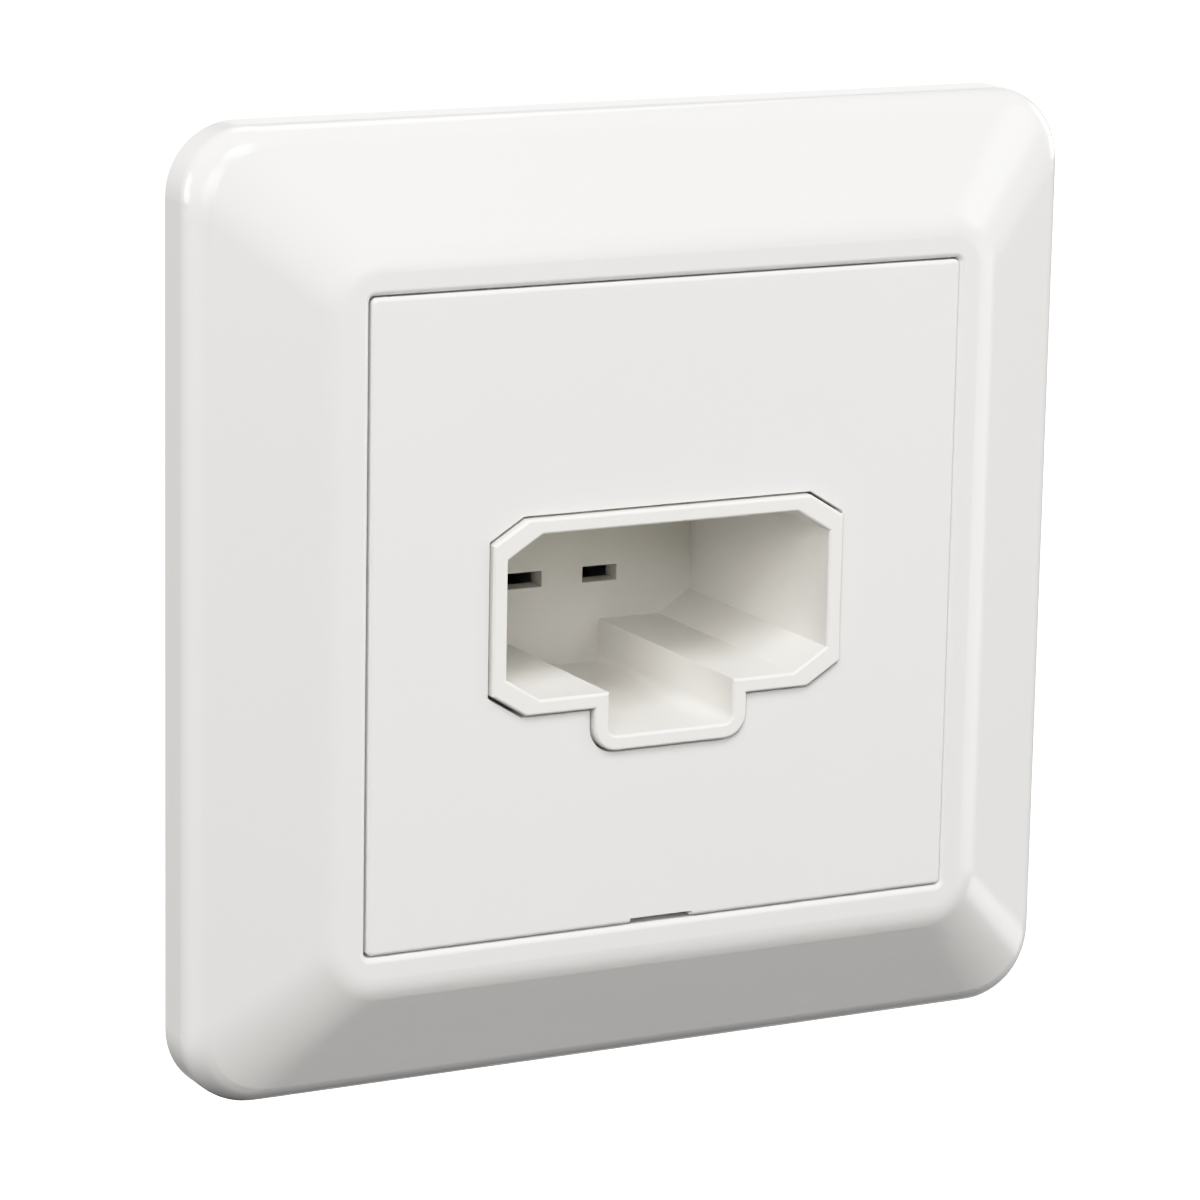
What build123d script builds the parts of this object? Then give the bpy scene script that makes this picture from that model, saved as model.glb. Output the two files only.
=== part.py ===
from build123d import *
import math
import os

# Recessed luminaire outlet: a square bevelled frame, a flat centre plate and a moulded
# insert with a T-shaped plug recess, on a steel plate that screws to a wall box.
# Each piece is drawn on the wall plane: X to the right, Y up the wall, Z out into the room.
# At the end the set is stood upright, with its front towards -Y. All sizes in millimetres.

# Centre plate
plate_size = 55.0
plate_height = 10.75  # front face above the wall
plate_thickness = 2.4  # at the edge that sits on the frame's ledge
plate_wall = 1.8
plate_corner_radius = 0.5
plate_edge_rounding = 0.35
cutout_rounding = 0.12  # round the insert
plate_gap = 0.15  # to the frame, all round when centred
plate_shift = 0.08  # to the right, within that gap
pry_notch_width = 5.9
pry_notch_height = 0.45
pry_pocket_depth = 1.0
skirt_wall = 1.2  # behind the plate, round the insert
skirt_depth = 2.2

# Cover frame
rim_width = 2.9  # flat border between the plate and the bevel's ridge
rim_thickness = 2.2
bevel_width = 10.4
bevel_edge_height = 5.0  # where the side wall and the bevel would meet
frame_corner_radius = 6.0
ridge_corner_radius = 4.5
edge_rounding = 3.0
ridge_rounding = 4.0
opening_rounding = 0.5
frame_wall = 1.9
collar_wall = 1.6
ledge_width = 2.0
ledge_thickness = 1.85
ledge_corner_radius = 1.5
rib_thickness = 1.2
rib_offset = 17.0  # from the middle of each side
rib_clearance = 0.3  # above the steel plate

# Plug recess and its moulded insert
recess_width = 30.4
recess_height = 14.0
recess_depth = 24.0  # from the plate's front face
recess_chamfer_run = 3.15
recess_chamfer_rise = 1.95
key_width = 11.8
key_drop = 3.8  # below the recess's floor
key_offset = 0.3  # to the right of the recess's middle
key_corner_radius = 0.8
insert_wall = 1.3
insert_gap = 0.2  # to the centre plate
insert_proud = 0.55
insert_rounding = 0.25
back_wall = 2.0

# Contact slots in the recess's back wall
slot_width = 3.4
slot_height = 1.45
slot_pitch = 7.4
slot_row_x = -1.3
slot_row_y = -2.87

# Steel mounting plate
steel_thickness = 1.2
steel_corner_radius = 6.0
steel_edge = 1.8  # beyond the ends of the box slots
box_screw_spacing = 60.0
box_slot_length = 7.0
box_slot_width = 4.2
cutout_clearance = 0.8
cutout_corner_radius = 2.0

# Housing flange and the snap hooks that pass it
flange_thickness = 2.0
flange_inset = 2.5  # from the plate's edge
flange_corner_radius = 3.0
hook_x = 15.0
hook_inset = 3.5  # from the plate's edge to the hook's middle
hook_width = 5.0
hook_thickness = 1.4
hook_barb = 0.75
hook_barb_length = 1.8
hook_play = 0.1
hook_side_clearance = 0.3
hook_flex_room = 1.0

# Terminals
terminal_width = 5.6
terminal_depth = 9.0
terminal_rise = 7.2
terminal_chamfer = 0.3
terminal_play = 0.1
chamber_wall = 1.4
wire_bore_radius = 1.8
wire_bore_setback = 3.4  # from the terminal's back face to the bore's axis
wire_window_radius = 2.4
driver_hole_radius = 2.3
spigot_radius = 1.0
spigot_head_radius = 1.5
spigot_head = 0.4

# Folded spring contacts
contact_thickness = 0.6
contact_bend = 0.9
contact_tail = 2.4  # above the spigot
contact_mouth = 1.6  # half opening at the front
contact_throat = 0.5  # half opening where a blade is gripped
contact_bow = 1.25  # half opening at the closed end
throat_depth = 4.6
bow_depth = 6.6
fork_depth = 8.8
earth_setback = 0.4  # lower leaf's lip behind the back wall
live_setback = 2.6

# Rear cover
cover_wall = 1.4
cover_room = 0.8  # behind the contacts
cover_rounding = 1.0
cover_partition = 1.0
partition_gap = 0.2
lug_thickness = 2.2
boss_radius = 2.6
boss_bite = 0.4  # how far a boss runs into the wall beside it

# Screws
screw_fit = 0.05  # radial, in a tapped hole
screw_hole_clearance = 0.2  # radial, in a through hole
screw_edge = 0.3
terminal_screw_radius = 1.5
terminal_head_radius = 2.0
terminal_head = 1.6
terminal_head_lift = 1.8  # above the terminal, backed off to take a wire
terminal_tip_gap = 0.2
flange_screw_radius = 1.25
flange_head_radius = 2.3
flange_head = 1.6
flange_screw_reach = 1.0  # behind the steel plate
cover_screw_radius = 1.1
cover_head_radius = 2.1
cover_head = 1.5
cover_screw_grip = 7.0
driver_slot_width = 0.7
driver_slot_depth = 0.8

# Levels, as heights above the wall, negative behind it
plate_back = plate_height - plate_thickness
ledge_back = plate_back - ledge_thickness
insert_front = plate_height + insert_proud
flange_front = steel_thickness + flange_thickness
recess_back = plate_height - recess_depth
housing_back = recess_back - back_wall
terminal_front = housing_back + terminal_depth
wire_level = housing_back + wire_bore_setback
lug_back = housing_back - lug_thickness
cover_inside = housing_back - fork_depth - contact_thickness - cover_room
cover_back = cover_inside - cover_wall

# Outlines in the wall plane
opening_size = plate_size + 2 * plate_gap
ledge_opening = plate_size - 2 * ledge_width
collar_size = opening_size + 2 * collar_wall
ridge_size = opening_size + 2 * rim_width
frame_size = ridge_size + 2 * bevel_width
insert_half_width = recess_width / 2 + insert_wall
insert_top = recess_height / 2 + insert_wall
key_bottom = -(recess_height / 2 + key_drop)
chamber_width = terminal_width + 2 * terminal_play
chamber_rise = terminal_rise + 2 * terminal_play
chamber_floor = insert_top + insert_wall
tower_half_width = slot_pitch + chamber_width / 2 + chamber_wall
tower_top = chamber_floor + chamber_rise + chamber_wall
terminal_y = chamber_floor + chamber_rise / 2
slot_xs = [slot_row_x + step * slot_pitch for step in (-1, 0, 1)]
partition_xs = [slot_row_x + step * slot_pitch / 2 for step in (-1, 1)]
hook_y = plate_size / 2 - hook_inset
hook_places = [(sx * hook_x, sy) for sx in (-1, 1) for sy in (-1, 1)]
flange_half_width = plate_size / 2 - flange_inset
flange_half_height = hook_y - hook_thickness / 2 - hook_flex_room
steel_size = box_screw_spacing + box_slot_length + 2 * steel_edge
boss_drop = insert_top + boss_radius - boss_bite
boss_side = key_width / 2 + insert_wall + boss_radius + insert_wall
tower_boss_x = slot_row_x + tower_half_width + boss_radius - boss_bite
key_boss_places = [(key_offset + side * boss_side, -boss_drop) for side in (-1, 1)]
cover_screw_places = [*key_boss_places, (tower_boss_x, boss_drop)]
flange_screw_x = (insert_half_width + flange_half_width) / 2
flange_screw_places = [(-flange_screw_x, 0), (flange_screw_x, 0)]


def slab(outline, bottom, top):
    return extrude(Pos(0, 0, bottom) * outline, amount=top - bottom)


def square(size, corner_radius):
    return RectangleRounded(size, size, corner_radius)


def post(radius, place, bottom, top):
    return slab(Pos(*place) * Circle(radius), bottom, top)


def upright_bore(radius, x, level, bottom, top):
    # a cylinder that runs up the wall, along Y
    return Pos(x, (bottom + top) / 2, level) * Cylinder(radius, top - bottom, rotation=(90, 0, 0))


def edges_at(solid, level):
    return solid.edges().filter_by_position(Axis.Z, level, level)


def insert_outline(margin):
    # the T-shaped recess outline, grown all round by a margin
    half_width = recess_width / 2 + margin
    half_height = recess_height / 2 + margin
    half_key = key_width / 2 + margin
    bottom = key_bottom - margin
    shoulder_x = half_width - recess_chamfer_run
    shoulder_y = half_height - recess_chamfer_rise
    right_side = [
        (shoulder_x, half_height),
        (half_width, shoulder_y),
        (half_width, -shoulder_y),
        (shoulder_x, -half_height),
    ]
    left_side = [(-x, y) for x, y in reversed(right_side)]
    key = [
        (key_offset + half_key, -half_height),
        (key_offset + half_key, bottom),
        (key_offset - half_key, bottom),
        (key_offset - half_key, -half_height),
    ]
    outline = make_face(Polyline(*right_side, *key, *left_side, close=True))
    return fillet(outline.vertices().sort_by(Axis.Y)[:2], key_corner_radius + margin)


def tower_outline(inset):
    # the terminal tower above the recess, down to the recess's middle
    return Pos(slot_row_x, (tower_top - inset) / 2) * Rectangle(
        2 * (tower_half_width - inset), tower_top - inset
    )


def screw(radius, length, head_radius, head_height):
    # a slotted cheese-head screw, its head seated at Z = 0 and its shank below
    head = slab(Circle(head_radius), 0, head_height)
    head = chamfer(edges_at(head, head_height), screw_edge)
    shank = slab(Circle(radius), -length, 0)
    shank = chamfer(edges_at(shank, -length), screw_edge)
    slot = slab(Rectangle(2 * head_radius, driver_slot_width), head_height - driver_slot_depth, head_height)
    return head + shank - slot


def cover_frame():
    outer = slab(square(frame_size, frame_corner_radius), 0, bevel_edge_height)
    outer += loft(
        [
            Pos(0, 0, bevel_edge_height) * square(frame_size, frame_corner_radius),
            Pos(0, 0, plate_height) * square(ridge_size, ridge_corner_radius),
        ],
        ruled=True,
    )
    outer = fillet(edges_at(outer, bevel_edge_height), edge_rounding)
    outer = fillet(edges_at(outer, plate_height), ridge_rounding)

    # hollow behind the bevel, one wall's thickness inside it
    slope = (plate_height - bevel_edge_height) / bevel_width
    wall_drop = frame_wall * math.hypot(1, slope)
    hollow_edge = bevel_edge_height - wall_drop + slope * frame_wall
    ceiling = plate_height - rim_thickness
    ceiling_inset = (ceiling - bevel_edge_height + wall_drop) / slope
    hollow_base = square(frame_size - 2 * frame_wall, frame_corner_radius - frame_wall)
    hollow = slab(hollow_base, 0, hollow_edge)
    hollow += loft(
        [
            Pos(0, 0, hollow_edge) * hollow_base,
            Pos(0, 0, ceiling) * square(frame_size - 2 * ceiling_inset, ridge_corner_radius),
        ],
        ruled=True,
    )
    hollow -= slab(Rectangle(collar_size, collar_size), ledge_back, ceiling)

    # stiffening ribs from the collar to the side walls
    rib_span = (frame_size - collar_size) / 2
    rib_middle = (frame_size + collar_size) / 4
    rib = slab(Rectangle(rib_span, rib_thickness), steel_thickness + rib_clearance, plate_height)
    for turn in range(4):
        for side in (-1, 1):
            hollow -= Rot(0, 0, 90 * turn) * Pos(rib_middle, side * rib_offset, 0) * rib

    frame = outer - hollow
    frame -= slab(square(opening_size, plate_corner_radius), plate_back, plate_height)
    opening_reach = opening_size / 2 + plate_gap
    opening_edges = edges_at(frame, plate_height).filter_by(
        lambda edge: max(abs(edge.center().X), abs(edge.center().Y)) < opening_reach
    )
    frame = fillet(opening_edges, opening_rounding)
    frame -= slab(square(ledge_opening, ledge_corner_radius), 0, plate_height)
    pocket_rise = ledge_width + plate_gap
    pocket = Pos(0, (pocket_rise - opening_size) / 2) * Rectangle(pry_notch_width, pocket_rise)
    return frame - slab(pocket, plate_back - pry_pocket_depth, plate_back)


def snap_hook():
    # a leg with an outward barb that catches behind the steel plate, drawn for the upper edge
    inner = hook_y - hook_thickness / 2
    outer = hook_y + hook_thickness / 2
    tip = -hook_play - hook_barb_length
    profile = make_face(
        Polyline(
            (inner, plate_height - plate_wall),
            (inner, tip),
            (outer - hook_thickness / 2, tip),
            (outer + hook_barb, -hook_play - hook_barb),
            (outer + hook_barb, -hook_play),
            (outer, -hook_play),
            (outer, plate_height - plate_wall),
            close=True,
        )
    )
    return extrude(Plane.YZ * profile, amount=hook_width / 2, both=True)


def centre_plate():
    outline = Pos(plate_shift, 0) * square(plate_size, plate_corner_radius)
    plate = slab(outline, plate_back, plate_height)
    plate = fillet(edges_at(plate, plate_height), plate_edge_rounding)
    cutout = insert_outline(insert_wall + insert_gap)
    plate -= slab(cutout, plate_back, plate_height)
    reach = insert_half_width + insert_gap
    cutout_edges = edges_at(plate, plate_height).filter_by_position(Axis.X, -reach, reach)
    plate = fillet(cutout_edges.filter_by_position(Axis.Y, -reach, reach), cutout_rounding)
    plate_inside = plate_height - plate_wall
    plate -= slab(square(ledge_opening, ledge_corner_radius), plate_back, plate_inside)
    skirt = insert_outline(insert_wall + insert_gap + skirt_wall) - cutout
    plate += slab(skirt, plate_inside - skirt_depth, plate_inside)
    notch = Pos(0, (pry_notch_height - plate_size) / 2) * Rectangle(pry_notch_width, pry_notch_height)
    plate -= slab(notch, plate_back, plate_height)
    hook = snap_hook()
    for x, side in hook_places:
        plate += Pos(x, 0, 0) * (hook if side > 0 else mirror(hook, about=Plane.XZ))
    return plate


def mounting_plate():
    plate = slab(square(steel_size, steel_corner_radius), 0, steel_thickness)
    cutout_top = tower_top + cutout_clearance
    cutout_bottom = -boss_drop - boss_radius - cutout_clearance
    cutout = Pos(0, (cutout_top + cutout_bottom) / 2) * RectangleRounded(
        2 * (insert_half_width + cutout_clearance), cutout_top - cutout_bottom, cutout_corner_radius
    )
    plate -= slab(cutout, 0, steel_thickness)
    for turn in range(4):
        box_slot = Pos(box_screw_spacing / 2, 0) * SlotOverall(box_slot_length, box_slot_width)
        plate -= slab(Rot(0, 0, 90 * turn) * box_slot, 0, steel_thickness)
    slot_inner = hook_y - hook_thickness / 2 - hook_flex_room
    slot_outer = hook_y + hook_thickness / 2 + hook_play
    for x, side in hook_places:
        slot = Pos(x, side * (slot_inner + slot_outer) / 2) * Rectangle(
            hook_width + 2 * hook_side_clearance, slot_outer - slot_inner
        )
        plate -= slab(slot, 0, steel_thickness)
    for place in flange_screw_places:
        plate -= post(flange_screw_radius + screw_fit, place, 0, steel_thickness)
    return plate


def socket_housing():
    insert = slab(insert_outline(insert_wall), housing_back, insert_front)
    insert -= slab(insert_outline(0), recess_back, insert_front)
    insert = fillet(edges_at(insert, insert_front), insert_rounding)

    flange = slab(
        RectangleRounded(2 * flange_half_width, 2 * flange_half_height, flange_corner_radius),
        steel_thickness,
        flange_front,
    )
    tower = slab(tower_outline(0), housing_back, flange_front)
    for x in slot_xs:
        chamber = Pos(x, terminal_y) * Rectangle(chamber_width, chamber_rise)
        tower -= slab(chamber, housing_back, terminal_front)
        tower -= post(driver_hole_radius, (x, terminal_y), terminal_front, flange_front)
        tower -= upright_bore(wire_window_radius, x, wire_level, terminal_y, tower_top)
        flange -= post(driver_hole_radius, (x, terminal_y), steel_thickness, flange_front)
    for place in flange_screw_places:
        flange -= post(flange_screw_radius + screw_hole_clearance, place, steel_thickness, flange_front)

    bosses = [post(boss_radius, place, housing_back, flange_front) for place in cover_screw_places]
    carrier = flange + tower + bosses
    carrier -= slab(insert_outline(insert_wall), housing_back, flange_front)
    housing = insert + carrier
    pilot_end = housing_back + cover_screw_grip + screw_edge
    for place in cover_screw_places:
        housing -= post(cover_screw_radius + screw_fit, place, housing_back, pilot_end)
    for x in slot_xs:
        slot = Pos(x, slot_row_y) * Rectangle(slot_width, slot_height)
        housing -= slab(slot, housing_back, recess_back)
    return housing


def rear_cover():
    outline = insert_outline(insert_wall) + tower_outline(0)
    cover = slab(outline, cover_back, housing_back)
    cover = fillet(edges_at(cover, cover_back), cover_rounding)
    inside = insert_outline(insert_wall - cover_wall) + tower_outline(cover_wall)
    room = slab(inside, cover_inside, housing_back)
    for x in partition_xs:
        wall = Pos(x, (tower_top - insert_top) / 2) * Rectangle(cover_partition, tower_top + insert_top)
        room -= slab(wall, cover_inside, housing_back - partition_gap)
    cover += [post(boss_radius, place, lug_back, housing_back) for place in cover_screw_places]
    cover -= room
    for place in cover_screw_places:
        cover -= post(cover_screw_radius + screw_hole_clearance, place, lug_back, housing_back)
    return cover


def terminal(x):
    # a brass pillar with a wire bore, a tapped hole from the front and a riveted spigot behind
    block = slab(Rectangle(terminal_width, terminal_rise), housing_back, terminal_front)
    block = chamfer(block.edges(), terminal_chamfer)
    block -= upright_bore(wire_bore_radius, 0, wire_level, -terminal_rise / 2, terminal_rise / 2)
    block -= post(terminal_screw_radius + screw_fit, (0, 0), wire_level, terminal_front)
    rivet_seat = housing_back - contact_thickness
    block += post(spigot_radius, (0, 0), rivet_seat, housing_back)
    block += post(spigot_head_radius, (0, 0), rivet_seat - spigot_head, rivet_seat)
    return Pos(x, terminal_y, 0) * block


def contact(x, setback):
    # one strip: a tail on the terminal, a leg down the back wall, and a fork folded round the slot
    fold = FilletPolyline(
        (terminal_y + contact_tail, housing_back),
        (slot_row_y + contact_mouth, housing_back),
        (slot_row_y + contact_throat, housing_back - throat_depth),
        (slot_row_y + contact_bow, housing_back - bow_depth),
        (slot_row_y + contact_bow, housing_back - fork_depth),
        (slot_row_y - contact_bow, housing_back - fork_depth),
        (slot_row_y - contact_bow, housing_back - bow_depth),
        (slot_row_y - contact_throat, housing_back - throat_depth),
        (slot_row_y - contact_mouth, housing_back - setback),
        radius=contact_bend,
    )
    profile = make_face(offset(fold, amount=contact_thickness, side=Side.LEFT))
    strip = extrude(Plane.YZ * profile, amount=slot_width / 2, both=True)
    hole = post(spigot_radius + screw_fit, (0, terminal_y), housing_back - contact_thickness, housing_back)
    return Pos(x, 0, 0) * (strip - hole)


def terminal_screw(x):
    seat = terminal_front + terminal_head_lift
    tip = wire_level + wire_bore_radius + terminal_tip_gap
    body = screw(terminal_screw_radius, seat - tip, terminal_head_radius, terminal_head)
    return Pos(x, terminal_y, seat) * body


def flange_screws():
    length = flange_thickness + steel_thickness + flange_screw_reach
    body = screw(flange_screw_radius, length, flange_head_radius, flange_head)
    return Compound([Pos(x, y, flange_front) * body for x, y in flange_screw_places])


def cover_screws():
    body = screw(cover_screw_radius, lug_thickness + cover_screw_grip, cover_head_radius, cover_head)
    return Compound([Pos(x, y, lug_back) * Rot(180, 0, 0) * body for x, y in cover_screw_places])


pieces = {
    "cover_frame": cover_frame(),
    "centre_plate": centre_plate(),
    "mounting_plate": mounting_plate(),
    "socket_housing": socket_housing(),
    "rear_cover": rear_cover(),
    "flange_screws": flange_screws(),
    "cover_screws": cover_screws(),
}
for pole, x in zip(("neutral", "earth", "line"), slot_xs):
    setback = earth_setback if pole == "earth" else live_setback
    pieces[pole + "_contact"] = contact(x, setback)
    pieces[pole + "_terminal"] = terminal(x)
    pieces[pole + "_terminal_screw"] = terminal_screw(x)

os.makedirs("parts", exist_ok=True)
for name, piece in pieces.items():
    export_step(Plane.XZ * piece, f"parts/{name}.step")
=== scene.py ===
import math
import bmesh
import bpy
from mathutils import Matrix, Vector


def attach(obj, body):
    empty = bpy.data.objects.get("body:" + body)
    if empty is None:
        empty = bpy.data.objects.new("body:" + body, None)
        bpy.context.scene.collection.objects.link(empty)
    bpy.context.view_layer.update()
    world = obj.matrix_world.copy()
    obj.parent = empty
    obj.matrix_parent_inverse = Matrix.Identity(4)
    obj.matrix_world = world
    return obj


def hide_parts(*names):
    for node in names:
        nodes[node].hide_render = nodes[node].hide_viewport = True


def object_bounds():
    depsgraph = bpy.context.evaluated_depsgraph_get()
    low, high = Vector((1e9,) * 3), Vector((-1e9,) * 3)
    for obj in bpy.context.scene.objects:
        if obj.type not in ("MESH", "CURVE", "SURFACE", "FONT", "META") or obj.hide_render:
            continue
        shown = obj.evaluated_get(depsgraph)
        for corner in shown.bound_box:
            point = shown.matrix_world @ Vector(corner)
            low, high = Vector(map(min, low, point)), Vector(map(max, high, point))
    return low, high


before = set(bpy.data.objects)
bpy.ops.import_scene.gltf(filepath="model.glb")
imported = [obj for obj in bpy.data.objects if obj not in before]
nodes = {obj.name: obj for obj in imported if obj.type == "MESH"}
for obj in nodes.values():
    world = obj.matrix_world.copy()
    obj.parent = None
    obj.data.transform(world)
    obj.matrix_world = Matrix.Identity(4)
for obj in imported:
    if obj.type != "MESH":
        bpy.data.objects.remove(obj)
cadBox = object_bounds()
scene = bpy.context.scene
mm = 0.001
print("frame loaded:", len(nodes), "pieces")


# Camera, fitted to the photograph

photoView = {
    "framePixels": 1200,
    "focalPixels": 5237.1,
    "azimuth": -27.73,
    "elevation": 12.85,
    "roll": 1.06,
    "distance": 447.3 * mm,
    "slideRight": -0.70 * mm,
    "slideUp": -1.91 * mm,
    "sensorWidth": 36,
    "nearClip": 0.01,
    "farClip": 20,
}


def outward(azimuth, elevation):
    # azimuth 0 is straight in front, and positive to the right
    side = math.radians(azimuth)
    rise = math.radians(elevation)
    return Vector((
        math.sin(side) * math.cos(rise),
        -math.cos(side) * math.cos(rise),
        math.sin(rise),
    ))


def placeCamera(view):
    back = outward(view["azimuth"], view["elevation"])
    roll = math.radians(view["roll"])
    levelRight = Vector((0, 0, 1)).cross(back).normalized()
    levelUp = back.cross(levelRight)
    right = levelRight * math.cos(roll) + levelUp * math.sin(roll)
    up = levelUp * math.cos(roll) - levelRight * math.sin(roll)
    data = bpy.data.cameras.new("photoCamera")
    data.sensor_width = view["sensorWidth"]
    data.lens = data.sensor_width * view["focalPixels"] / view["framePixels"]
    data.clip_start = view["nearClip"]
    data.clip_end = view["farClip"]
    camera = bpy.data.objects.new("photoCamera", data)
    scene.collection.objects.link(camera)
    turn = Matrix((right, up, back)).transposed().to_4x4()
    place = right * view["slideRight"] + up * view["slideUp"] + back * view["distance"]
    camera.matrix_world = Matrix.Translation(place) @ turn
    scene.camera = camera


placeCamera(photoView)
print("camera placed")


# Studio: soft boxes round the object, and a pale floor

softBoxes = {
    "keyBox": {"azimuth": -38, "elevation": 26, "width": 0.5, "height": 0.5, "watts": 5.1},
    "topBox": {"azimuth": -15, "elevation": 55, "width": 0.5, "height": 0.5, "watts": 9.0},
    "leftFrontBox": {"azimuth": -55, "elevation": 17, "width": 0.5, "height": 0.5, "watts": 2.3},
    "frontBox": {"azimuth": 15, "elevation": 15, "width": 0.5, "height": 0.5, "watts": 1.7},
    "rightBox": {"azimuth": 62, "elevation": 25, "width": 0.5, "height": 0.5, "watts": 2.8},
    "ridgeBox": {"azimuth": 57, "elevation": -8, "width": 0.75, "height": 0.4, "watts": 2.8},
    "lowRightBox": {"azimuth": 86, "elevation": -33, "width": 0.4, "height": 0.55, "watts": 2.1},
    "rightRearBox": {"azimuth": 105, "elevation": 10, "width": 0.5, "height": 0.5, "watts": 9.8},
    "leftRearBox": {"azimuth": -120, "elevation": 10, "width": 0.5, "height": 0.5, "watts": 7.2},
    "backBox": {"azimuth": 155, "elevation": 52, "width": 0.5, "height": 0.5, "watts": 3.7},
    "backLowBox": {"azimuth": 158, "elevation": -20, "width": 1.0, "height": 0.5, "watts": 0.8},
    "topEdgeBox": {"azimuth": 152, "elevation": 8, "width": 0.6, "height": 0.4, "watts": 0.9},
    "bottomEdgeBox": {
        "azimuth": 138, "elevation": -36, "width": 0.3, "height": 0.32, "watts": 0.2, "reach": 0.6,
    },
}
boxReach = 1.2  # from the object, where a box has no reach of its own
studio = {
    "floorSize": 12.0,
    "floorDrop": 0.55,  # the outlet is held up by its wall mount, so the floor lies well below
    "floorSeen": (2.0, 2.0, 2.0, 1),
    "floorBounce": (0.04, 0.04, 0.04, 1),
    "skySeen": (2.0, 2.0, 2.0, 1),
    "skyLight": (0.01, 0.01, 0.01, 1),
}


def hangSoftBox(name, box):
    data = bpy.data.lights.new(name, "AREA")
    data.shape = "RECTANGLE"
    data.size = box["width"]
    data.size_y = box["height"]
    data.energy = box["watts"]
    light = bpy.data.objects.new(name, data)
    scene.collection.objects.link(light)
    aim = outward(box["azimuth"], box["elevation"])
    light.location = aim * box.get("reach", boxReach)
    light.rotation_mode = "QUATERNION"
    light.rotation_quaternion = aim.to_track_quat("Z", "Y")


def seenOrLit(tree, seen, lit, target):
    # what the camera sees directly, and what lights the object
    rays = tree.nodes.new("ShaderNodeLightPath")
    pick = tree.nodes.new("ShaderNodeMixShader")
    tree.links.new(rays.outputs["Is Camera Ray"], pick.inputs[0])
    tree.links.new(lit.outputs[0], pick.inputs[1])
    tree.links.new(seen.outputs[0], pick.inputs[2])
    tree.links.new(pick.outputs[0], target)


def paintSky():
    world = bpy.data.worlds.new("studioSky")
    scene.world = world
    world.use_nodes = True
    tree = world.node_tree
    tree.nodes.clear()
    seen = tree.nodes.new("ShaderNodeBackground")
    seen.inputs["Color"].default_value = studio["skySeen"]
    lit = tree.nodes.new("ShaderNodeBackground")
    lit.inputs["Color"].default_value = studio["skyLight"]
    out = tree.nodes.new("ShaderNodeOutputWorld")
    seenOrLit(tree, seen, lit, out.inputs["Surface"])


def layFloor():
    half = studio["floorSize"] / 2
    level = cadBox[0].z - studio["floorDrop"]
    mesh = bpy.data.meshes.new("paleFloor")
    corners = [(-1, -1), (1, -1), (1, 1), (-1, 1)]
    mesh.from_pydata([(half * x, half * y, level) for x, y in corners], [], [(0, 1, 2, 3)])
    floor = bpy.data.objects.new("paleFloor", mesh)
    scene.collection.objects.link(floor)
    material = bpy.data.materials.new("paleFloor")
    material.use_nodes = True
    tree = material.node_tree
    tree.nodes.clear()
    seen = tree.nodes.new("ShaderNodeEmission")
    seen.inputs["Color"].default_value = studio["floorSeen"]
    lit = tree.nodes.new("ShaderNodeBsdfDiffuse")
    lit.inputs["Color"].default_value = studio["floorBounce"]
    out = tree.nodes.new("ShaderNodeOutputMaterial")
    seenOrLit(tree, seen, lit, out.inputs["Surface"])
    mesh.materials.append(material)


highlightCurve = [(0.35, 0.35), (0.7, 0.7), (1.0, 0.89)]  # scene light in, picture light out
highlightEnd = (1.6, 1.02)


def softenHighlights():
    # a gentle shoulder, so that the brightest bevels keep their shape
    view = scene.view_settings
    view.view_transform = "Standard"
    view.use_curve_mapping = True
    mapping = view.curve_mapping
    mapping.clip_max_x, mapping.clip_max_y = highlightEnd
    line = mapping.curves[3]  # the one for all three colours
    line.points[1].location = highlightEnd
    for spot in highlightCurve:
        line.points.new(*spot)
    mapping.update()


for boxName, boxPlan in softBoxes.items():
    hangSoftBox(boxName, boxPlan)
paintSky()
layFloor()
softenHighlights()
print("studio lit")


# Node helpers


def addNode(tree, kind, **settings):
    node = tree.nodes.new(kind)
    for key, value in settings.items():
        setattr(node, key, value)
    return node


def feed(tree, socket, source):
    # another node's output is linked, anything else is set as the value
    if isinstance(source, bpy.types.NodeSocket):
        tree.links.new(source, socket)
    else:
        socket.default_value = source


def calc(tree, operation, first, second=0.0):
    node = addNode(tree, "ShaderNodeMath", operation=operation)
    feed(tree, node.inputs[0], first)
    feed(tree, node.inputs[1], second)
    return node.outputs[0]


def average(tree, first, second):
    return calc(tree, "MULTIPLY", calc(tree, "ADD", first, second), 0.5)


def vector(tree, x, y, z):
    node = addNode(tree, "ShaderNodeCombineXYZ")
    for socket, source in zip(node.inputs, (x, y, z)):
        feed(tree, socket, source)
    return node.outputs[0]


def nameSockets(tree, direction, sockets):
    for label, kind in sockets.items():
        tree.interface.new_socket(label, in_out=direction, socket_type="NodeSocket" + kind)


# Shared finishes: a moulded plastic skin, and the grain of plated or rolled metal

noiseMiddle = (0.3, 0.7)  # noise seldom leaves this stretch
noiseDetail = {"patches": 2.0, "ripple": 1.0, "grain": 3.0, "lines": 3.0, "blotches": 2.0}


def cloud(tree, place, size, detail):
    # soft noise with features about one size across
    node = addNode(tree, "ShaderNodeTexNoise")
    feed(tree, node.inputs["Vector"], place)
    feed(tree, node.inputs["Scale"], calc(tree, "DIVIDE", 1.0, size))
    feed(tree, node.inputs["Detail"], detail)
    return node.outputs["Fac"]


def ramp(tree, value, ends, low=0.0, high=1.0):
    # from low at one end to high at the other, and level beyond them
    node = addNode(tree, "ShaderNodeMapRange")
    feed(tree, node.inputs["Value"], value)
    feed(tree, node.inputs["From Min"], ends[0])
    feed(tree, node.inputs["From Max"], ends[1])
    feed(tree, node.inputs["To Min"], low)
    feed(tree, node.inputs["To Max"], high)
    return node.outputs["Result"]


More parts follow.
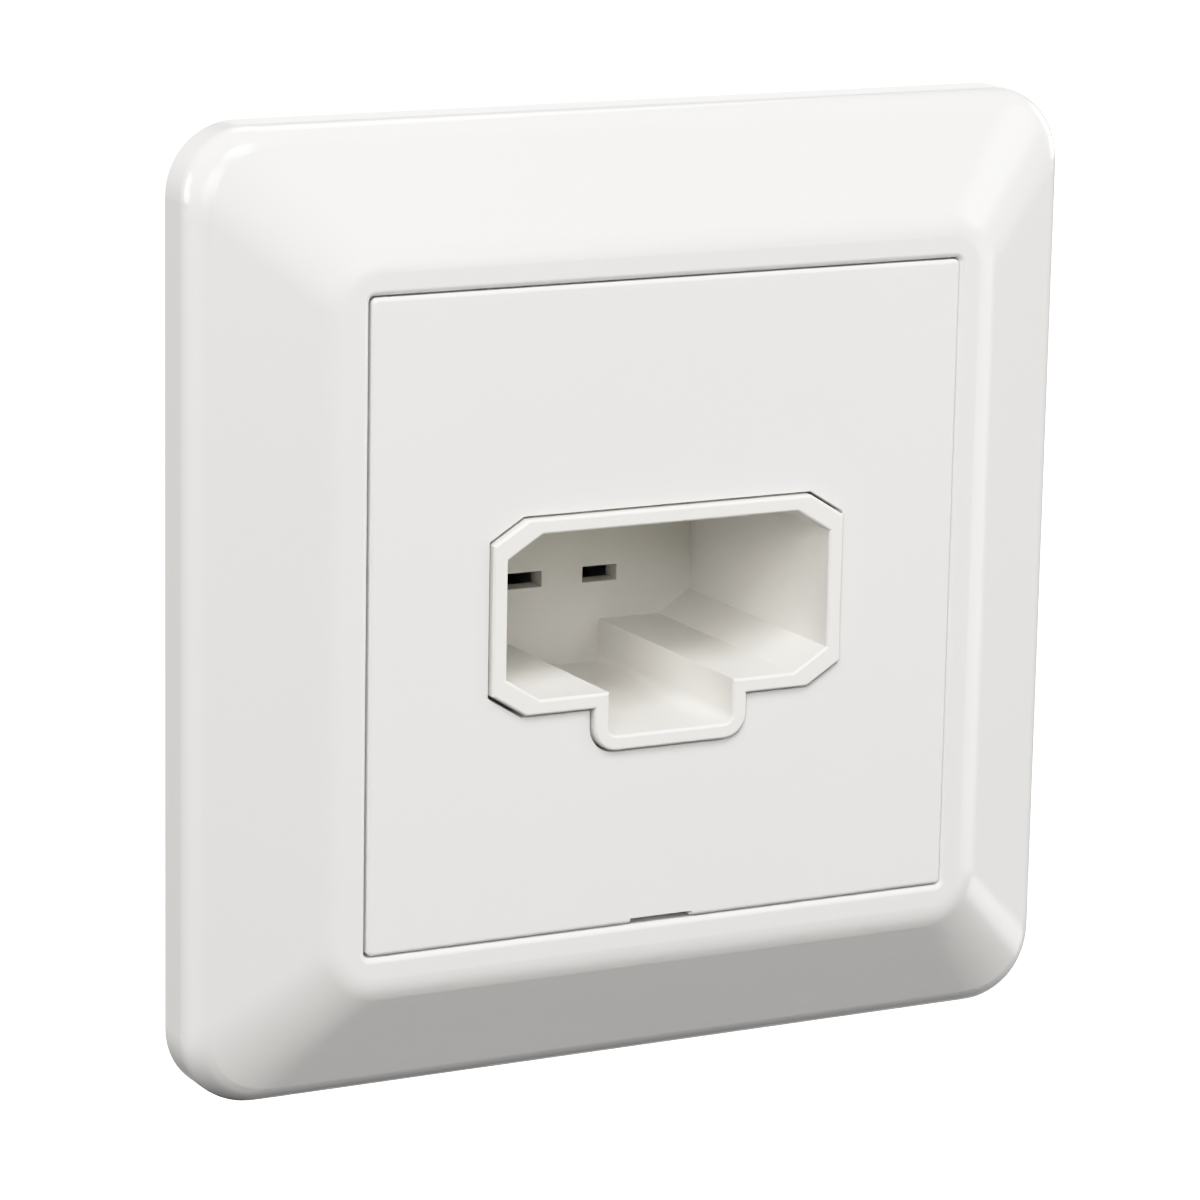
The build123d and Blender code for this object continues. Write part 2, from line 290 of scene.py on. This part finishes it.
def tint(tree, share, fromTone, toTone):
    # a Mix node has several sockets called A and B, so its colour ones go by number
    node = addNode(tree, "ShaderNodeMix", data_type="RGBA")
    feed(tree, node.inputs["Factor"], share)
    feed(tree, node.inputs[6], fromTone)
    feed(tree, node.inputs[7], toTone)
    return node.outputs[2]


def buildMouldedSkin():
    # cloudy resin tone, a slow ripple from the tool's polish and a fine grain
    tree = bpy.data.node_groups.new("mouldedSkin", "ShaderNodeTree")
    nameSockets(tree, "INPUT", {
        "Light Tone": "Color",
        "Deep Tone": "Color",
        "Patch Size": "Float",
        "Ripple Size": "Float",
        "Grain Size": "Float",
        "Grain Share": "Float",
        "Polish": "Float",
        "Dullness": "Float",
    })
    nameSockets(tree, "OUTPUT", {"Color": "Color", "Roughness": "Float", "Height": "Float"})
    given = addNode(tree, "NodeGroupInput").outputs
    result = addNode(tree, "NodeGroupOutput").inputs
    place = addNode(tree, "ShaderNodeTexCoord").outputs["Object"]
    patches = cloud(tree, place, given["Patch Size"], noiseDetail["patches"])
    ripple = cloud(tree, place, given["Ripple Size"], noiseDetail["ripple"])
    grain = cloud(tree, place, given["Grain Size"], noiseDetail["grain"])
    tone = tint(tree, ramp(tree, patches, noiseMiddle), given["Deep Tone"], given["Light Tone"])
    feed(tree, result["Color"], tone)
    blend = average(tree, ripple, grain)
    roughness = ramp(tree, blend, noiseMiddle, given["Polish"], given["Dullness"])
    feed(tree, result["Roughness"], roughness)
    fine = calc(tree, "MULTIPLY", grain, given["Grain Share"])
    feed(tree, result["Height"], calc(tree, "ADD", ripple, fine))
    return tree


def buildMetalGrain():
    # drawn-out rolling marks under a blotchy tarnish or plating
    tree = bpy.data.node_groups.new("metalGrain", "ShaderNodeTree")
    nameSockets(tree, "INPUT", {
        "Bright Tone": "Color",
        "Dull Tone": "Color",
        "Line Stretch": "Vector",
        "Line Size": "Float",
        "Blotch Size": "Float",
        "Polish": "Float",
        "Dullness": "Float",
    })
    nameSockets(tree, "OUTPUT", {"Color": "Color", "Roughness": "Float", "Height": "Float"})
    given = addNode(tree, "NodeGroupInput").outputs
    result = addNode(tree, "NodeGroupOutput").inputs
    place = addNode(tree, "ShaderNodeTexCoord").outputs["Object"]
    drawn = addNode(tree, "ShaderNodeVectorMath", operation="MULTIPLY")
    feed(tree, drawn.inputs[0], place)
    feed(tree, drawn.inputs[1], given["Line Stretch"])
    lines = cloud(tree, drawn.outputs[0], given["Line Size"], noiseDetail["lines"])
    blotches = cloud(tree, place, given["Blotch Size"], noiseDetail["blotches"])
    share = average(tree, lines, blotches)
    tone = tint(tree, ramp(tree, share, noiseMiddle), given["Dull Tone"], given["Bright Tone"])
    feed(tree, result["Color"], tone)
    roughness = ramp(tree, share, noiseMiddle, given["Dullness"], given["Polish"])
    feed(tree, result["Roughness"], roughness)
    feed(tree, result["Height"], lines)
    return tree


plasticFinishes = {
    "frameGloss": {
        "skin": {
            "Light Tone": (0.896, 0.880, 0.855, 1),
            "Deep Tone": (0.884, 0.868, 0.843, 1),
            "Patch Size": 30 * mm,
            "Ripple Size": 5 * mm,
            "Grain Size": 0.35 * mm,
            "Grain Share": 0.02,
            "Polish": 0.18,
            "Dullness": 0.20,
        },
        "bumpDepth": 0.006 * mm,
    },
    "plateSatin": {
        "skin": {
            "Light Tone": (0.892, 0.876, 0.861, 1),
            "Deep Tone": (0.882, 0.866, 0.851, 1),
            "Patch Size": 26 * mm,
            "Ripple Size": 4 * mm,
            "Grain Size": 0.30 * mm,
            "Grain Share": 0.08,
            "Polish": 0.32,
            "Dullness": 0.42,
        },
        "bumpDepth": 0.012 * mm,
    },
    "insertMoulding": {
        "skin": {
            "Light Tone": (0.926, 0.909, 0.869, 1),
            "Deep Tone": (0.916, 0.899, 0.859, 1),
            "Patch Size": 14 * mm,
            "Ripple Size": 3 * mm,
            "Grain Size": 0.25 * mm,
            "Grain Share": 0.12,
            "Polish": 0.30,
            "Dullness": 0.42,
        },
        "bumpDepth": 0.015 * mm,
        # painted shade: a darker, warmer tone on the recess's end wall, deepest towards its top
        "endWallShade": {
            "tone": (0.820, 0.800, 0.720, 1),
            "depth": (12.3 * mm, 13.1 * mm),
            "height": (-6.0 * mm, 1.0 * mm),
            "halfWidth": 15.8 * mm,
            "ceiling": 7.5 * mm,
        },
    },
    "rearMoulding": {
        "skin": {
            "Light Tone": (0.800, 0.788, 0.752, 1),
            "Deep Tone": (0.765, 0.752, 0.715, 1),
            "Patch Size": 12 * mm,
            "Ripple Size": 2.5 * mm,
            "Grain Size": 0.22 * mm,
            "Grain Share": 0.35,
            "Polish": 0.44,
            "Dullness": 0.58,
        },
        "bumpDepth": 0.030 * mm,
    },
}
metalFinishes = {
    "zincSheet": {
        "grain": {
            "Bright Tone": (0.700, 0.705, 0.715, 1),
            "Dull Tone": (0.520, 0.530, 0.550, 1),
            "Line Stretch": (1.0, 1.0, 14.0),
            "Line Size": 2.2 * mm,
            "Blotch Size": 5.0 * mm,
            "Polish": 0.30,
            "Dullness": 0.50,
        },
        "bumpDepth": 0.010 * mm,
    },
    "screwZinc": {
        "grain": {
            "Bright Tone": (0.690, 0.690, 0.685, 1),
            "Dull Tone": (0.500, 0.500, 0.505, 1),
            "Line Stretch": (1.0, 3.0, 1.0),
            "Line Size": 0.6 * mm,
            "Blotch Size": 1.4 * mm,
            "Polish": 0.24,
            "Dullness": 0.42,
        },
        "bumpDepth": 0.006 * mm,
    },
    "rolledBronze": {
        "grain": {
            "Bright Tone": (0.680, 0.470, 0.290, 1),
            "Dull Tone": (0.500, 0.330, 0.200, 1),
            "Line Stretch": (9.0, 1.0, 1.0),
            "Line Size": 1.2 * mm,
            "Blotch Size": 2.0 * mm,
            "Polish": 0.24,
            "Dullness": 0.40,
        },
        "bumpDepth": 0.006 * mm,
    },
    "turnedBrass": {
        "grain": {
            "Bright Tone": (0.780, 0.610, 0.310, 1),
            "Dull Tone": (0.620, 0.460, 0.220, 1),
            "Line Stretch": (1.0, 6.0, 1.0),
            "Line Size": 0.9 * mm,
            "Blotch Size": 2.2 * mm,
            "Polish": 0.20,
            "Dullness": 0.36,
        },
        "bumpDepth": 0.006 * mm,
    },
}
wornBy = {
    "frameGloss": ["cover_frame"],
    "plateSatin": ["centre_plate"],
    "insertMoulding": ["socket_housing"],
    "rearMoulding": ["rear_cover"],
    "zincSheet": ["mounting_plate"],
    "rolledBronze": ["neutral_contact", "earth_contact", "line_contact"],
    "turnedBrass": ["neutral_terminal", "earth_terminal", "line_terminal"],
}


def paintedEndWallShade(tree, tone, endWallShade):
    # painted shade: the end wall of the recess is given a darker, warmer tone than its sides, most
    # of all towards its top, where shade falls
    spot = addNode(tree, "ShaderNodeSeparateXYZ")
    feed(tree, spot.inputs["Vector"], addNode(tree, "ShaderNodeTexCoord").outputs["Object"])
    x, y, z = spot.outputs
    deep = ramp(tree, y, endWallShade["depth"])
    high = ramp(tree, z, endWallShade["height"])
    share = calc(tree, "MULTIPLY", deep, high)
    between = calc(tree, "LESS_THAN", calc(tree, "ABSOLUTE", x), endWallShade["halfWidth"])
    under = calc(tree, "LESS_THAN", z, endWallShade["ceiling"])
    inside = calc(tree, "MULTIPLY", between, under)
    return tint(tree, calc(tree, "MULTIPLY", share, inside), tone, endWallShade["tone"])


def surface(name, effect, values, bumpDepth, metallic, endWallShade=None):
    material = bpy.data.materials.new(name)
    material.use_nodes = True
    tree = material.node_tree
    shader = tree.nodes["Principled BSDF"]
    shader.inputs["Metallic"].default_value = metallic
    group = addNode(tree, "ShaderNodeGroup", node_tree=effect)
    for label, value in values.items():
        group.inputs[label].default_value = value
    bump = addNode(tree, "ShaderNodeBump")
    bump.inputs["Distance"].default_value = bumpDepth
    feed(tree, bump.inputs["Height"], group.outputs["Height"])
    tone = group.outputs["Color"]
    # painted shade on the end wall of the recess
    if endWallShade:
        tone = paintedEndWallShade(tree, tone, endWallShade)
    feed(tree, shader.inputs["Base Color"], tone)
    feed(tree, shader.inputs["Roughness"], group.outputs["Roughness"])
    feed(tree, shader.inputs["Normal"], bump.outputs["Normal"])
    return material


mouldedSkin = buildMouldedSkin()
metalGrain = buildMetalGrain()
materials = {}
for finishName, finish in plasticFinishes.items():
    materials[finishName] = surface(
        finishName, mouldedSkin, finish["skin"], finish["bumpDepth"], 0.0, finish.get("endWallShade"))
for finishName, finish in metalFinishes.items():
    materials[finishName] = surface(
        finishName, metalGrain, finish["grain"], finish["bumpDepth"], 1.0)
for finishName, wearers in wornBy.items():
    for nodeName in wearers:
        mesh = nodes[nodeName].data
        mesh.materials.clear()
        mesh.materials.append(materials[finishName])
print("finishes made:", len(materials))


# Geometry node pieces

roundSides = 40
sharpTurn = math.radians(35)


def turned(tree, rings, level, radius):
    # a round piece: rings along Z, each at its own level and radius
    line = addNode(tree, "GeometryNodeCurvePrimitiveLine")
    divided = addNode(tree, "GeometryNodeResampleCurve")
    feed(tree, divided.inputs["Curve"], line.outputs["Curve"])
    feed(tree, divided.inputs["Count"], rings)
    lifted = addNode(tree, "GeometryNodeSetPosition")
    feed(tree, lifted.inputs["Geometry"], divided.outputs["Curve"])
    feed(tree, lifted.inputs["Position"], vector(tree, 0.0, 0.0, level))
    outline = addNode(tree, "GeometryNodeCurvePrimitiveCircle")
    feed(tree, outline.inputs["Resolution"], roundSides)
    skin = addNode(tree, "GeometryNodeCurveToMesh")
    feed(tree, skin.inputs["Curve"], lifted.outputs["Geometry"])
    feed(tree, skin.inputs["Profile Curve"], outline.outputs["Curve"])
    feed(tree, skin.inputs["Scale"], radius)
    feed(tree, skin.inputs["Fill Caps"], True)
    return skin.outputs["Mesh"]


def shifted(tree, geometry, move):
    node = addNode(tree, "GeometryNodeTransform")
    feed(tree, node.inputs["Geometry"], geometry)
    feed(tree, node.inputs["Translation"], move)
    return node.outputs["Geometry"]


def crispEdges(tree, geometry):
    # smooth faces, with the sharp turns kept sharp
    smooth = addNode(tree, "GeometryNodeSetShadeSmooth", domain="FACE")
    feed(tree, smooth.inputs["Geometry"], geometry)
    turn = addNode(tree, "GeometryNodeInputMeshEdgeAngle").outputs["Unsigned Angle"]
    crisp = addNode(tree, "GeometryNodeSetShadeSmooth", domain="EDGE")
    feed(tree, crisp.inputs["Geometry"], smooth.outputs["Geometry"])
    feed(tree, crisp.inputs["Selection"], calc(tree, "GREATER_THAN", turn, sharpTurn))
    feed(tree, crisp.inputs["Shade Smooth"], False)
    return crisp.outputs["Geometry"]


def setOut(tree, given, shape, spin):
    # one copy at each place, made real and given its finish
    copies = addNode(tree, "GeometryNodeInstanceOnPoints")
    feed(tree, copies.inputs["Points"], given["Places"])
    feed(tree, copies.inputs["Instance"], shape)
    feed(tree, copies.inputs["Rotation"], vector(tree, given["Facing"], spin, 0.0))
    real = addNode(tree, "GeometryNodeRealizeInstances")
    feed(tree, real.inputs["Geometry"], copies.outputs["Instances"])
    dressed = addNode(tree, "GeometryNodeSetMaterial")
    feed(tree, dressed.inputs["Geometry"], real.outputs["Geometry"])
    feed(tree, dressed.inputs["Material"], given["Finish"])
    feed(tree, addNode(tree, "NodeGroupOutput").inputs[0], dressed.outputs["Geometry"])


screwMake = {
    "headRings": 8,
    "coreRings": 3,
    "stepsPerTurn": 24,
    "toothSides": 4,
    "bladeOverHead": 3.0,  # the slot's cutter, against the head's radius
    "spin": math.radians(50),  # either way from level
}


def buildScrewTree():
    # a slotted cheese-head screw: head above Z = 0, threaded shank below
    tree = bpy.data.node_groups.new("slottedScrew", "GeometryNodeTree")
    nameSockets(tree, "INPUT", {
        "Places": "Geometry",
        "Head Radius": "Float",
        "Head Height": "Float",
        "Head Rounding": "Float",
        "Shank Radius": "Float",
        "Shank Length": "Float",
        "Thread Pitch": "Float",
        "Thread Depth": "Float",
        "Slot Width": "Float",
        "Slot Depth": "Float",
        "Facing": "Float",
        "Seed": "Int",
        "Finish": "Material",
    })
    nameSockets(tree, "OUTPUT", {"Screws": "Geometry"})
    given = addNode(tree, "NodeGroupInput").outputs
    ring = addNode(tree, "GeometryNodeSplineParameter").outputs["Index"]
    first = calc(tree, "MINIMUM", ring, 1.0)
    later = calc(tree, "MAXIMUM", calc(tree, "SUBTRACT", ring, 1.0), 0.0)

    headRings = screwMake["headRings"]
    sweep = calc(tree, "MULTIPLY", later, math.pi / 2 / (headRings - 2))
    rounding = given["Head Rounding"]
    wall = calc(tree, "MULTIPLY", first, calc(tree, "SUBTRACT", given["Head Height"], rounding))
    rise = calc(tree, "MULTIPLY", calc(tree, "SINE", sweep), rounding)
    fall = calc(tree, "SUBTRACT", 1.0, calc(tree, "COSINE", sweep))
    inset = calc(tree, "MULTIPLY", fall, rounding)
    headRadius = calc(tree, "SUBTRACT", given["Head Radius"], inset)
    head = turned(tree, headRings, calc(tree, "ADD", wall, rise), headRadius)
    blade = addNode(tree, "GeometryNodeMeshCube")
    bladeLength = calc(tree, "MULTIPLY", given["Head Radius"], screwMake["bladeOverHead"])
    bladeHeight = calc(tree, "MULTIPLY", given["Slot Depth"], 2.0)
    feed(tree, blade.inputs["Size"], vector(tree, bladeLength, given["Slot Width"], bladeHeight))
    cut = addNode(tree, "GeometryNodeMeshBoolean", operation="DIFFERENCE")
    feed(tree, cut.inputs["Mesh 1"], head)
    raised = shifted(tree, blade.outputs["Mesh"], vector(tree, 0.0, 0.0, given["Head Height"]))
    feed(tree, cut.inputs["Mesh 2"], raised)

    depth = given["Thread Depth"]
    length = given["Shank Length"]
    down = calc(tree, "MULTIPLY", length, -1.0)
    coreRadius = calc(tree, "SUBTRACT", given["Shank Radius"], depth)
    tip = calc(tree, "MULTIPLY", calc(tree, "SUBTRACT", 1.0, first), depth)
    lower = calc(tree, "MULTIPLY", first, depth)
    upper = calc(tree, "MULTIPLY", later, calc(tree, "SUBTRACT", length, depth))
    level = calc(tree, "ADD", down, calc(tree, "ADD", lower, upper))
    core = turned(tree, screwMake["coreRings"], level, calc(tree, "SUBTRACT", coreRadius, tip))
    coil = addNode(tree, "GeometryNodeCurveSpiral")
    run = calc(tree, "SUBTRACT", length, calc(tree, "MULTIPLY", depth, 2.0))
    feed(tree, coil.inputs["Resolution"], screwMake["stepsPerTurn"])
    feed(tree, coil.inputs["Rotations"], calc(tree, "DIVIDE", run, given["Thread Pitch"]))
    feed(tree, coil.inputs["Start Radius"], coreRadius)
    feed(tree, coil.inputs["End Radius"], coreRadius)
    feed(tree, coil.inputs["Height"], run)
    upright = addNode(tree, "GeometryNodeSetCurveNormal", mode="Z_UP")
    feed(tree, upright.inputs["Curve"], coil.outputs["Curve"])
    tooth = addNode(tree, "GeometryNodeCurvePrimitiveCircle")
    feed(tree, tooth.inputs["Resolution"], screwMake["toothSides"])
    feed(tree, tooth.inputs["Radius"], depth)
    ridge = addNode(tree, "GeometryNodeCurveToMesh")
    feed(tree, ridge.inputs["Curve"], upright.outputs["Curve"])
    feed(tree, ridge.inputs["Profile Curve"], tooth.outputs["Curve"])
    feed(tree, ridge.inputs["Fill Caps"], True)
    threadStart = calc(tree, "ADD", down, depth)
    threaded = shifted(tree, ridge.outputs["Mesh"], vector(tree, 0.0, 0.0, threadStart))

    whole = addNode(tree, "GeometryNodeJoinGeometry")
    for part in (cut.outputs["Mesh"], core, threaded):
        tree.links.new(part, whole.inputs["Geometry"])
    spin = addNode(tree, "FunctionNodeRandomValue", data_type="FLOAT")
    feed(tree, spin.inputs[2], -screwMake["spin"])
    feed(tree, spin.inputs[3], screwMake["spin"])
    feed(tree, spin.inputs["Seed"], given["Seed"])
    setOut(tree, given, crispEdges(tree, whole.outputs["Geometry"]), spin.outputs[1])
    return tree


def grow(name, tree, places, values):
    # runs a tree on a set of places and keeps the result as a plain mesh
    points = bpy.data.meshes.new(name + "Places")
    points.from_pydata(places, [], [])
    piece = bpy.data.objects.new(name, points)
    scene.collection.objects.link(piece)
    modifier = piece.modifiers.new("grow", "NODES")
    modifier.node_group = tree
    for socket in tree.interface.items_tree:
        if socket.in_out == "INPUT" and socket.name in values:
            modifier[socket.identifier] = values[socket.name]
    graph = bpy.context.evaluated_depsgraph_get()
    mesh = bpy.data.meshes.new_from_object(piece.evaluated_get(graph), depsgraph=graph)
    piece.modifiers.clear()
    piece.data = mesh
    bpy.data.meshes.remove(points)
    return piece


mergeReach = 0.001 * mm


def solidBoxes(node):
    # the corners of each separate solid in a node, from a merged copy of its mesh
    copy = bmesh.new()
    copy.from_mesh(node.data)
    bmesh.ops.remove_doubles(copy, verts=copy.verts, dist=mergeReach)
    left = set(copy.verts)
    boxes = []
    while left:
        reached = [left.pop()]
        for vert in reached:
            for edge in vert.link_edges:
                other = edge.other_vert(vert)
                if other in left:
                    left.remove(other)
                    reached.append(other)
        spots = [vert.co for vert in reached]
        low = Vector([min(spot[axis] for spot in spots) for axis in range(3)])
        high = Vector([max(spot[axis] for spot in spots) for axis in range(3)])
        boxes.append((low, high))
    copy.free()
    return sorted(boxes, key=lambda box: box[0].x)


screwSets = {
    "flangeScrews": {
        "standsFor": ["flange_screws"],
        "headToFront": True,
        "sizes": {
            "Head Height": 1.6 * mm,
            "Shank Radius": 1.25 * mm,
            "Thread Pitch": 0.45 * mm,
            "Thread Depth": 0.2 * mm,
            "Seed": 3,
        },
    },
    "coverScrews": {
        "standsFor": ["cover_screws"],
        "headToFront": False,
        "sizes": {
            "Head Height": 1.5 * mm,
            "Shank Radius": 1.1 * mm,
            "Thread Pitch": 0.8 * mm,
            "Thread Depth": 0.25 * mm,
            "Seed": 5,
        },
    },
    "terminalScrews": {
        "standsFor": ["neutral_terminal_screw", "earth_terminal_screw", "line_terminal_screw"],
        "headToFront": True,
        "sizes": {
            "Head Height": 1.6 * mm,
            "Shank Radius": 1.5 * mm,
            "Thread Pitch": 0.5 * mm,
            "Thread Depth": 0.25 * mm,
            "Seed": 8,
        },
    },
}
screwHead = {"Head Rounding": 0.35 * mm, "Slot Width": 0.7 * mm, "Slot Depth": 0.8 * mm}


def fitScrews(name, plan, tree):
    boxes = [box for node in plan["standsFor"] for box in solidBoxes(nodes[node])]
    low, high = boxes[0]
    headHeight = plan["sizes"]["Head Height"]
    if plan["headToFront"]:
        seat = low.y + headHeight
    else:
        seat = high.y - headHeight
    middles = [(corner + opposite) / 2 for corner, opposite in boxes]
    values = {**screwHead, **plan["sizes"]}
    values["Head Radius"] = (high.x - low.x) / 2
    values["Shank Length"] = high.y - low.y - headHeight
    values["Facing"] = math.radians(90 if plan["headToFront"] else -90)
    values["Finish"] = materials["screwZinc"]
    piece = grow(name, tree, [(middle.x, seat, middle.z) for middle in middles], values)
    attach(piece, "root")
    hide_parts(*plan["standsFor"])
    print(name, "made:", len(boxes), "screws,", len(piece.data.polygons), "faces")


screwTree = buildScrewTree()
for setName, screwPlan in screwSets.items():
    fitScrews(setName, screwPlan, screwTree)
